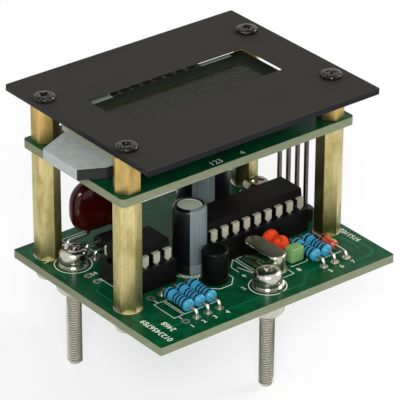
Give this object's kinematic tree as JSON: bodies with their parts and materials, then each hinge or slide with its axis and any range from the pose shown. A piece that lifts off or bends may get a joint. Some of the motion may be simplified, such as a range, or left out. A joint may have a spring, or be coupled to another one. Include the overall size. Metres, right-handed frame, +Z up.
{
  "type": "component tester",
  "caption": "Bench component tester: display board and cover panel on brass standoffs over a circuit board with socketed chips and three screw terminals that serve as feet.",
  "frame": {"origin": "middle of the bounding box, on the plane of the three terminal screw tips it stands on", "axes": "+X to the right along the long front edge of the boards, +Y towards the back, +Z up through the stack"},
  "size_m": [0.0568, 0.0482, 0.0541],
  "materials": {
    "green_circuit_board": "solder-masked glass epoxy, satin",
    "printed_clear_panel": "clear acrylic plate with a black satin print on its top face; the print leaves the window clear",
    "brass": "turned, slightly dull",
    "black_screw": "black zinc, semi-gloss",
    "bright_steel": "nickel-plated steel, bright",
    "light_guide": "milky moulded plastic",
    "rear_glass": "ground edges",
    "front_glass": "dark green-grey film under clear glass",
    "tinned_wire": "tinned, bright to satin",
    "chip_moulding": "fine matt mould texture",
    "socket_moulding": "semi-gloss moulded plastic",
    "capacitor_can": "drawn aluminium",
    "capacitor_sleeve": "shrunk film, glossy, pale stripe",
    "bung_rubber": "matt rubber",
    "choke_sleeve": "shrunk film, semi-gloss",
    "maroon_dip": "dipped epoxy, high gloss",
    "orange_dip": "dipped lacquer, semi-gloss",
    "crystal_metal": "drawn nickel-plated can, mirror bright",
    "pale_green_moulding": "matt moulded",
    "blue_lacquer": "lacquered, with dark bands",
    "diode_glass": "orange-red sealed glass, dark band",
    "black_epoxy": "moulded epoxy, pale band",
    "solder": "bright solder"
  },
  "bodies": {
    "tester": {"main_board": "green_circuit_board", "display_board": "green_circuit_board", "cover_panel": "printed_clear_panel", "lower_standoff_front_left": "brass", "lower_standoff_front_right": "brass", "lower_standoff_back_right": "brass", "lower_standoff_back_left": "brass", "upper_standoff_front_left": "brass", "upper_standoff_front_right": "brass", "upper_standoff_back_right": "brass", "upper_standoff_back_left": "brass", "cover_screws": "black_screw", "base_screws": "bright_steel", "base_spring_washers": "bright_steel", "base_flat_washers": "bright_steel", "terminal_screw_left": "bright_steel", "terminal_screw_front": "bright_steel", "terminal_screw_right": "bright_steel", "terminal_flat_washers": "bright_steel", "terminal_spring_washers": "bright_steel", "terminal_nuts": "bright_steel", "light_box": "light_guide", "display_lower_pane": "rear_glass", "display_upper_pane": "front_glass", "display_pins": "tinned_wire", "light_box_leads": "tinned_wire", "controller_socket": "socket_moulding", "controller_socket_contacts": "tinned_wire", "small_chip_socket": "socket_moulding", "small_chip_socket_contacts": "tinned_wire", "link_header_body": "socket_moulding", "link_header_pins": "tinned_wire", "tall_capacitor_can": "capacitor_can", "tall_capacitor_sleeve": "capacitor_sleeve", "slim_capacitor_can": "capacitor_can", "slim_capacitor_sleeve": "capacitor_sleeve", "electrolytic_bungs": "bung_rubber", "electrolytic_leads": "tinned_wire", "choke_body": "choke_sleeve", "choke_leads": "tinned_wire", "film_capacitor_body": "maroon_dip", "film_capacitor_leads": "tinned_wire", "ceramic_capacitor_bodies": "orange_dip", "ceramic_capacitor_leads": "tinned_wire", "crystal_can": "crystal_metal", "crystal_base": "crystal_metal", "crystal_leads": "tinned_wire", "box_capacitor_body": "pale_green_moulding", "box_capacitor_leads": "tinned_wire", "resistor_bodies": "blue_lacquer", "resistor_leads": "tinned_wire", "glass_diode_body": "diode_glass", "rectifier_bodies": "black_epoxy", "diode_leads": "tinned_wire", "solder_joints": "solder"},
    "controller_chip": {"controller_chip_body": "chip_moulding", "controller_chip_legs": "tinned_wire"},
    "small_chip": {"small_chip_body": "chip_moulding", "small_chip_legs": "tinned_wire"}
  },
  "joints": [
    {"name": "controller_chip_lift", "type": "slide", "parent": "tester", "child": "controller_chip", "axis": [0, 0, 1], "range_m": [0, 0.0033]},
    {"name": "small_chip_lift", "type": "slide", "parent": "tester", "child": "small_chip", "axis": [0, 0, 1], "range_m": [0, 0.0033]}
  ]
}
